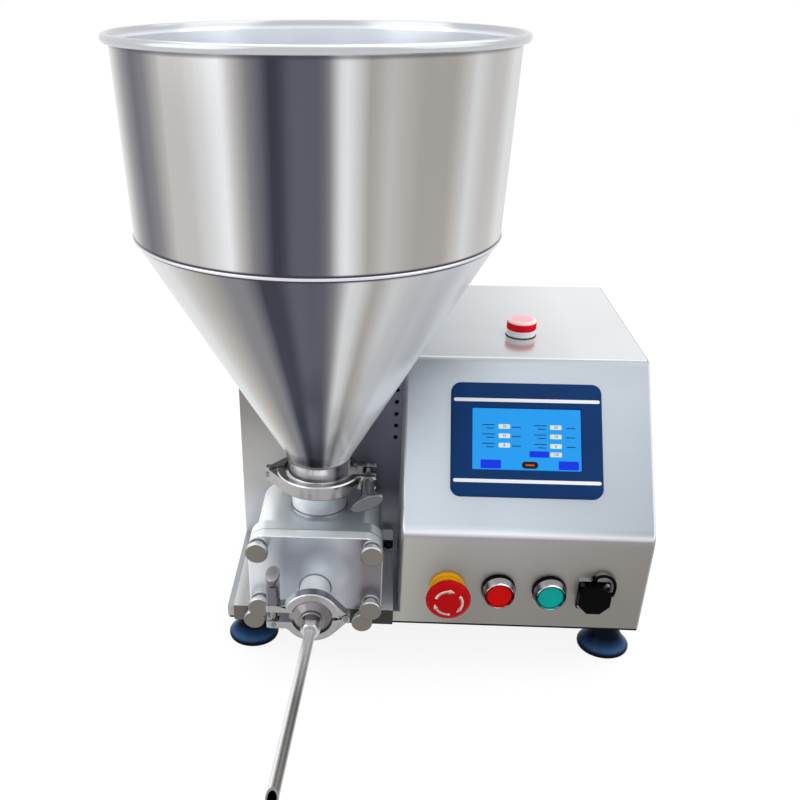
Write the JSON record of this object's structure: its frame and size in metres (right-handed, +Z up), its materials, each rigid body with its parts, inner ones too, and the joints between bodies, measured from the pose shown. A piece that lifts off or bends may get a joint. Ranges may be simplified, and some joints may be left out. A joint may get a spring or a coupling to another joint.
{
  "type": "doughnut filling machine",
  "caption": "Bench-top filler: open conical hopper clamped on a gear pump that feeds a thin side nozzle, beside a sloping control box with a touch panel, switches and rubber feet.",
  "frame": {"origin": "on the table, under the middle of the machine's bounding box", "axes": "+Z up, +Y from the front panel to the back, +X to the right seen from the front"},
  "size_m": [0.4582, 0.6002, 0.534],
  "materials": {
    "cabinet_steel": "brushed stainless sheet",
    "pump_steel": "satin stainless steel",
    "hopper_steel": "polished stainless steel",
    "clamp_steel": "polished cast stainless steel",
    "knob_steel": "satin turned stainless steel",
    "shaft_steel": "ground steel",
    "black_plate": "satin black paint",
    "foot_rubber": "dark glossy rubber",
    "black_rubber": "matt black rubber",
    "panel_plastic": "dark blue-grey moulded plastic",
    "screen_glass": "lit display behind a clear cover",
    "red_plastic": "glossy red",
    "yellow_plastic": "glossy yellow",
    "teal_plastic": "glossy green-blue",
    "black_plastic": "satin black",
    "bright_chrome": "chrome plate",
    "white_plastic": "glossy white",
    "lamp_lens": "fluted red lens",
    "bush_bronze": "plain bearing bronze",
    "motor_paint": "dark grey paint",
    "drive_aluminium": "machined"
  },
  "bodies": {
    "machine": {"cabinet_body": "cabinet_steel", "base_plate": "black_plate", "rear_cover": "cabinet_steel", "panel_screws": "shaft_steel", "rubber_feet": "foot_rubber", "foot_studs": "shaft_steel", "screen_bezel": "panel_plastic", "screen_glass": "screen_glass", "screen_housing": "panel_plastic", "estop_collar": "yellow_plastic", "estop_barrel": "black_plastic", "button_bases": "black_plastic", "button_bezels": "bright_chrome", "contact_blocks": "black_plastic", "panel_nuts": "black_plastic", "pedal_socket": "bright_chrome", "socket_tether": "black_rubber", "signal_lamp_base": "white_plastic", "signal_lamp_lens": "lamp_lens", "pump_plate": "cabinet_steel", "pump_body": "pump_steel", "pump_seals": "black_rubber", "pump_eye": "black_plastic", "pump_cover": "pump_steel", "shaft_bushes": "bush_bronze", "drive_housing": "pump_steel", "gear_motor": "motor_paint", "motor_bracket": "black_plate", "hopper": "hopper_steel", "inlet_jaw_rear": "clamp_steel", "inlet_jaw_front": "clamp_steel", "outlet_jaw_lower": "clamp_steel", "outlet_jaw_upper": "clamp_steel", "clamp_pins": "clamp_steel", "clamp_gaskets": "black_rubber", "nozzle_cap": "clamp_steel", "nozzle_tube": "clamp_steel", "power_supply": "drive_aluminium", "power_inlet": "black_plastic"},
    "estop_stem": {"estop_stem": "black_plastic"},
    "estop_cap": {"estop_cap": "red_plastic"},
    "stop_button": {"stop_button": "red_plastic"},
    "start_button": {"start_button": "teal_plastic"},
    "socket_cap": {"socket_cap": "black_plastic"},
    "plate_knob_left": {"plate_knob_left": "knob_steel"},
    "plate_knob_right": {"plate_knob_right": "knob_steel"},
    "cover_knob_upper_left": {"cover_knob_upper_left": "knob_steel"},
    "cover_knob_upper_right": {"cover_knob_upper_right": "knob_steel"},
    "cover_knob_lower_left": {"cover_knob_lower_left": "knob_steel"},
    "cover_knob_lower_right": {"cover_knob_lower_right": "knob_steel"},
    "drive_train": {"drive_rotor": "shaft_steel", "drive_shaft": "shaft_steel", "shaft_coupling": "drive_aluminium"},
    "idler": {"idler_rotor": "shaft_steel", "idler_shaft": "shaft_steel"},
    "inlet_bolt": {"inlet_bolt": "clamp_steel"},
    "inlet_wing_nut": {"inlet_wing_nut": "clamp_steel"},
    "outlet_bolt": {"outlet_bolt": "clamp_steel"},
    "outlet_wing_nut": {"outlet_wing_nut": "clamp_steel"},
    "nozzle_nut": {"nozzle_nut": "clamp_steel"}
  },
  "joints": [
    {"name": "estop_press", "type": "slide", "parent": "machine", "child": "estop_stem", "axis": [0, 1, 0], "range_m": [0, 0.004]},
    {"name": "estop_twist", "type": "hinge", "parent": "estop_stem", "child": "estop_cap", "pos_m": [0.0477, -0.05493, 0.0925], "axis": [0, 1, 0], "range_deg": [0, 45], "stiffness_Nm_per_rad": 0.06},
    {"name": "stop_press", "type": "slide", "parent": "machine", "child": "stop_button", "axis": [0, 1, 0], "range_m": [0, 0.003], "stiffness_N_per_m": 400},
    {"name": "start_press", "type": "slide", "parent": "machine", "child": "start_button", "axis": [0, 1, 0], "range_m": [0, 0.003], "stiffness_N_per_m": 400},
    {"name": "socket_cap_turn", "type": "hinge", "parent": "machine", "child": "socket_cap", "pos_m": [0.1784, -0.04793, 0.0902], "axis": [0, 1, 0], "range_deg": [0, 90]},
    {"name": "plate_knob_left_turn", "type": "hinge", "parent": "machine", "child": "plate_knob_left", "pos_m": [-0.1283, -0.04492, 0.057], "axis": [0, 1, 0], "continuous": true},
    {"name": "plate_knob_right_turn", "type": "hinge", "parent": "machine", "child": "plate_knob_right", "pos_m": [-0.0288, -0.04492, 0.057], "axis": [0, 1, 0], "continuous": true},
    {"name": "cover_knob_upper_left_turn", "type": "hinge", "parent": "machine", "child": "cover_knob_upper_left", "pos_m": [-0.1223, -0.04492, 0.1338], "axis": [0, 1, 0], "continuous": true},
    {"name": "cover_knob_upper_right_turn", "type": "hinge", "parent": "machine", "child": "cover_knob_upper_right", "pos_m": [-0.0213, -0.04492, 0.1338], "axis": [0, 1, 0], "continuous": true},
    {"name": "cover_knob_lower_left_turn", "type": "hinge", "parent": "machine", "child": "cover_knob_lower_left", "pos_m": [-0.1223, -0.04492, 0.0752], "axis": [0, 1, 0], "continuous": true},
    {"name": "cover_knob_lower_right_turn", "type": "hinge", "parent": "machine", "child": "cover_knob_lower_right", "pos_m": [-0.0213, -0.04492, 0.0752], "axis": [0, 1, 0], "continuous": true},
    {"name": "drive_spin", "type": "hinge", "parent": "machine", "child": "drive_train", "pos_m": [-0.0908, 0.00007, 0.1045], "axis": [0, 1, 0], "continuous": true},
    {"name": "idler_spin", "type": "hinge", "parent": "machine", "child": "idler", "pos_m": [-0.0528, 0.00007, 0.1045], "axis": [0, 1, 0], "continuous": true},
    {"name": "inlet_bolt_swing", "type": "hinge", "parent": "machine", "child": "inlet_bolt", "pos_m": [-0.0268, 0.03207, 0.173], "axis": [0, 0, 1], "range_deg": [0, 15]},
    {"name": "inlet_nut_turn", "type": "hinge", "parent": "inlet_bolt", "child": "inlet_wing_nut", "pos_m": [-0.0268, -0.00673, 0.173], "axis": [0, -1, 0], "continuous": true},
    {"name": "outlet_bolt_swing", "type": "hinge", "parent": "machine", "child": "outlet_bolt", "pos_m": [-0.1053, -0.08493, 0.081], "axis": [0, -1, 0], "range_deg": [0, 90]},
    {"name": "outlet_nut_turn", "type": "hinge", "parent": "outlet_bolt", "child": "outlet_wing_nut", "pos_m": [-0.1053, -0.08493, 0.1118], "axis": [0, 0, 1], "continuous": true},
    {"name": "nozzle_nut_turn", "type": "hinge", "parent": "machine", "child": "nozzle_nut", "pos_m": [-0.0718, -0.10708, 0.0895], "axis": [0, 1, 0], "continuous": true}
  ],
  "couplings": [
    {"joint": "idler_spin", "follows": "drive_spin", "ratio": -1}
  ]
}
